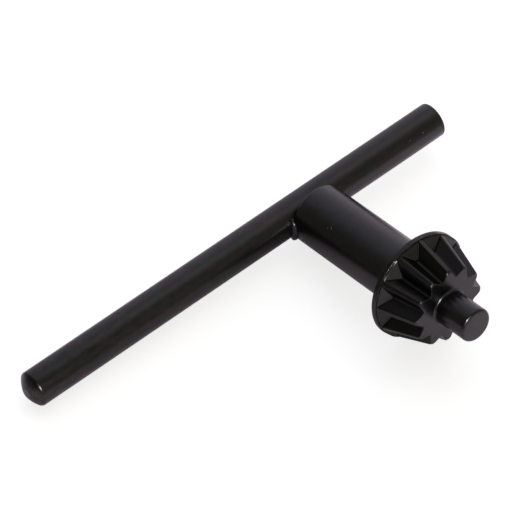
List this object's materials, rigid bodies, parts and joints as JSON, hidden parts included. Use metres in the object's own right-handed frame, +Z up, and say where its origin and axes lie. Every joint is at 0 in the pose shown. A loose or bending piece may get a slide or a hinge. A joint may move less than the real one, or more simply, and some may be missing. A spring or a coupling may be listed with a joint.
{
  "type": "drill chuck key",
  "caption": "T-handled key for a geared drill chuck: a round cross bar welded off centre to a shank with a bevel pinion and a pilot pin, in blackened steel.",
  "frame": {"origin": "on the floor, under the middle of the key's box as it lies at rest", "axes": "+X along the long arm of the cross bar, +Y from the bar towards the pilot pin, +Z up from the floor the key lies on"},
  "size_m": [0.0844, 0.0432, 0.018],
  "materials": {
    "bar_steel": "blackened, semi-gloss, faintly mottled",
    "body_steel": "blackened, semi-gloss"
  },
  "bodies": {
    "root": {"handle_bar": "bar_steel", "key_body": "body_steel"}
  },
  "joints": []
}
